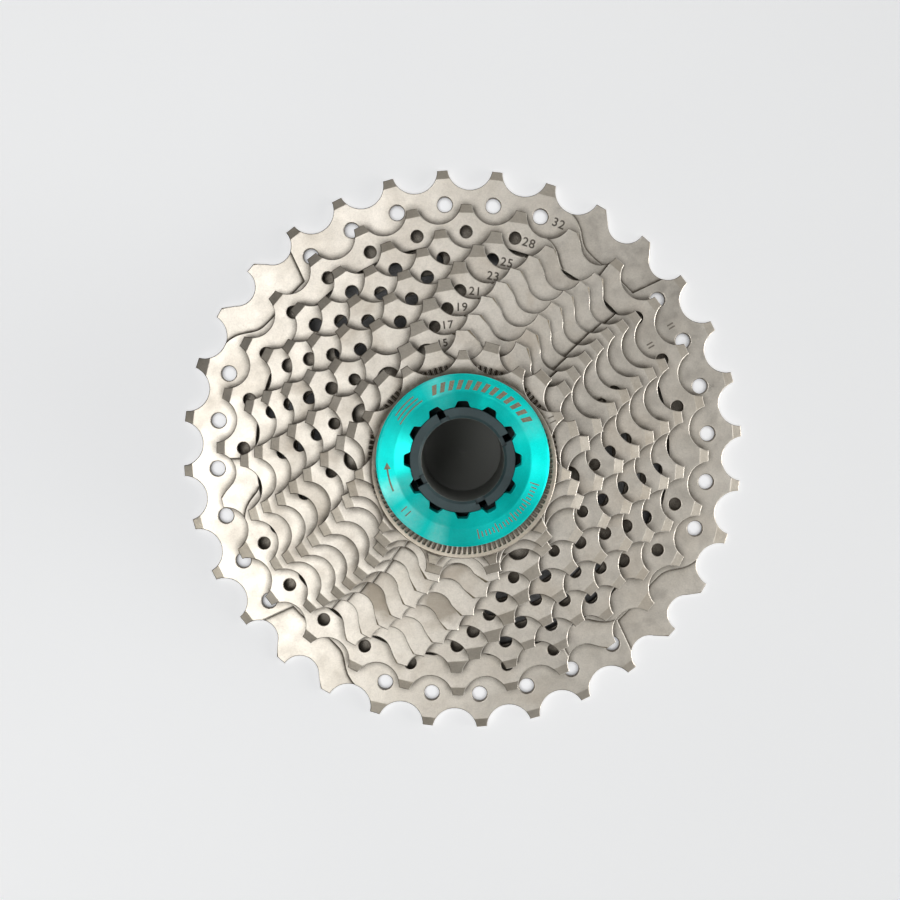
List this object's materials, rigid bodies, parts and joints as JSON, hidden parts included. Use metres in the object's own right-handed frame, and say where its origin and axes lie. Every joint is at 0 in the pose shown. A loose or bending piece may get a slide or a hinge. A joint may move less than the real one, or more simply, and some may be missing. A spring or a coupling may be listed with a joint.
{
  "type": "bicycle cassette",
  "caption": "Stack of toothed rear sprockets with shift ramps, spacers, rivets, serrated washer, turquoise splined lockring and a plastic transport core.",
  "frame": {"origin": "on the cassette axis, in the plane of the back (spoke side) face of the largest sprocket", "axes": "+Z along the cassette axis from the largest sprocket to the lockring; the narrow spline lug of every sprocket lies on +X"},
  "size_m": [0.1318, 0.1318, 0.0415],
  "materials": {
    "plated_steel": "satin nickel plate, warm grey, faintly mottled",
    "spacer_resin": "matte black moulded resin",
    "rivet_steel": "plain steel, riveted flush",
    "washer_steel": "satin nickel plate with radial serrations",
    "anodised_ring": "turquoise anodised aluminium, satin, laser etched ticks",
    "core_plastic": "dark slate moulded plastic"
  },
  "bodies": {
    "cluster": {"sprocket_32t": "plated_steel", "sprocket_28t": "plated_steel", "sprocket_25t": "plated_steel", "sprocket_23t": "plated_steel", "sprocket_21t": "plated_steel", "sprocket_19t": "plated_steel", "sprocket_17t": "plated_steel", "sprocket_15t": "plated_steel", "spacer_32_28": "spacer_resin", "spacer_28_25": "spacer_resin", "spacer_25_23": "spacer_resin", "spacer_23_21": "spacer_resin", "spacer_21_19": "spacer_resin", "spacer_19_17": "spacer_resin", "spacer_17_15": "spacer_resin", "rivets": "rivet_steel"},
    "loose_spacer": {"spacer_15_13": "spacer_resin"},
    "sprocket_13": {"sprocket_13t": "plated_steel"},
    "sprocket_12": {"sprocket_12t": "plated_steel"},
    "sprocket_11": {"sprocket_11t": "plated_steel"},
    "washer": {"lockring_washer": "washer_steel"},
    "lockring": {"lockring": "anodised_ring"},
    "core": {"transport_core": "core_plastic"}
  },
  "joints": [
    {"name": "loose_spacer_slide", "type": "slide", "parent": "cluster", "child": "loose_spacer", "axis": [0, 0, 1], "range_m": [0, 0.015]},
    {"name": "sprocket_13_slide", "type": "slide", "parent": "loose_spacer", "child": "sprocket_13", "axis": [0, 0, 1], "range_m": [0, 0.012]},
    {"name": "sprocket_12_slide", "type": "slide", "parent": "sprocket_13", "child": "sprocket_12", "axis": [0, 0, 1], "range_m": [0, 0.012]},
    {"name": "sprocket_11_slide", "type": "slide", "parent": "sprocket_12", "child": "sprocket_11", "axis": [0, 0, 1], "range_m": [0, 0.012]},
    {"name": "lockring_lift", "type": "slide", "parent": "sprocket_11", "child": "washer", "axis": [0, 0, 1], "range_m": [0, 0.007]},
    {"name": "lockring_turn", "type": "hinge", "parent": "washer", "child": "lockring", "pos_m": [0, 0, 0.0397], "axis": [0, 0, 1], "range_deg": [0, 2520]},
    {"name": "cassette_lift", "type": "slide", "parent": "core", "child": "cluster", "axis": [0, 0, 1], "range_m": [0, 0.045]}
  ],
  "couplings": [
    {"joint": "lockring_lift", "follows": "lockring_turn", "m_per_rad": 0.00015915}
  ]
}
